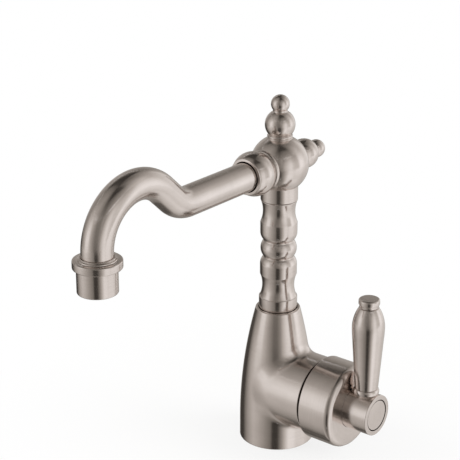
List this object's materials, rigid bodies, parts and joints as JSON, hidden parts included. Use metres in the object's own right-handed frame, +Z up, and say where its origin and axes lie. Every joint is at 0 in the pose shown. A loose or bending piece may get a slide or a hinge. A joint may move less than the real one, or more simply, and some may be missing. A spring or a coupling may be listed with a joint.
{
  "type": "basin mixer tap",
  "caption": "Deck-mounted basin mixer with a tapered body, turned column, ball hub with finials, swivelling swan-neck spout and a side lever on a round barrel.",
  "frame": {"origin": "centre of the body's base, on the deck", "axes": "+Z up along the body and column, -Y along the spout at rest, +X along the cartridge barrel towards the lever"},
  "size_m": [0.1079, 0.2305, 0.2404],
  "materials": {
    "nickel": "satin",
    "brass": "satin",
    "steel": "satin",
    "rubber": "matte",
    "plastic": "matte",
    "ceramic": "polished"
  },
  "bodies": {
    "body": {"mixer_body": "nickel", "base_gasket": "rubber", "spout_bush_lower": "plastic", "spout_bush_upper": "plastic", "spout_lock_screw": "steel", "cartridge_base": "plastic", "cartridge_seals": "rubber", "fixed_disc": "ceramic", "cartridge_housing": "plastic", "cartridge_nut": "brass"},
    "spout": {"turned_column": "nickel", "spigot_o_rings": "rubber", "ball_hub": "nickel", "top_finial": "nickel", "rear_finial": "nickel", "spout_collar": "nickel", "union_seal": "rubber", "spout_tube": "nickel", "nozzle_flange": "nickel", "aerator_washer": "rubber", "aerator_screen": "steel", "aerator_insert": "plastic", "aerator_housing": "nickel"},
    "rotor": {"cartridge_rotor": "plastic", "stem_pin": "steel"},
    "disc": {"sliding_disc": "ceramic", "disc_carrier": "plastic"},
    "handle": {"cartridge_stem": "brass", "handle_cap": "nickel", "handle_screw": "steel", "hub_end_disc": "nickel", "lever_ferrule": "nickel", "lever_grip": "nickel", "lever_button": "nickel", "lever_stud": "steel"}
  },
  "joints": [
    {"name": "spout_swivel", "type": "hinge", "parent": "body", "child": "spout", "pos_m": [0, 0, 0.092], "axis": [0, 0, 1], "continuous": true},
    {"name": "temperature", "type": "hinge", "parent": "body", "child": "rotor", "pos_m": [0.033, 0, 0.04], "axis": [1, 0, 0], "range_deg": [-45, 45]},
    {"name": "flow", "type": "hinge", "parent": "rotor", "child": "handle", "pos_m": [0.033, 0, 0.04], "axis": [0, 1, 0], "range_deg": [0, 22]},
    {"name": "disc_travel", "type": "slide", "parent": "rotor", "child": "disc", "axis": [0, 0, 1], "range_m": [0, 0.0038]}
  ],
  "couplings": [
    {"joint": "disc_travel", "follows": "flow", "m_per_rad": 0.0095}
  ]
}
